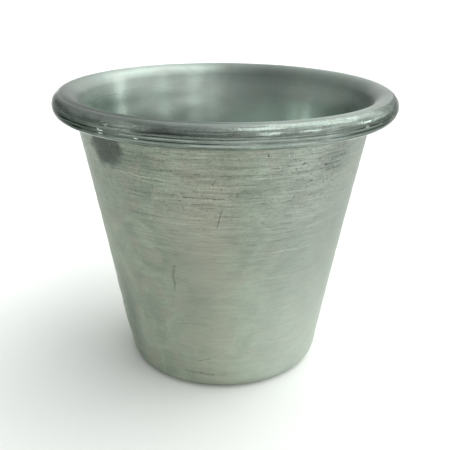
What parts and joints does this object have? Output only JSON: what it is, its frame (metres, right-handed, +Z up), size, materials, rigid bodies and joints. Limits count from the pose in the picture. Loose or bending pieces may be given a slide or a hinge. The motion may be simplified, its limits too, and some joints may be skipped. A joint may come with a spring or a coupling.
{
  "type": "candle melting pot",
  "caption": "Tapered round melting pot of spun aluminium sheet with a flat base, a rounded base corner and a rim rolled outward into a round bead.",
  "frame": {"origin": "centre of the flat base, on the surface it stands on", "axes": "+Z up along the pot's axis, out of its mouth; X and Y are equal, and the rim wire's butt joint lies at +Y"},
  "size_m": [0.15, 0.15, 0.127],
  "materials": {
    "aluminium_sheet": "satin, spun, lightly worn",
    "aluminium_wire": "plain drawn"
  },
  "bodies": {
    "root": {"pot_body": "aluminium_sheet", "rim_wire": "aluminium_wire"}
  },
  "joints": []
}
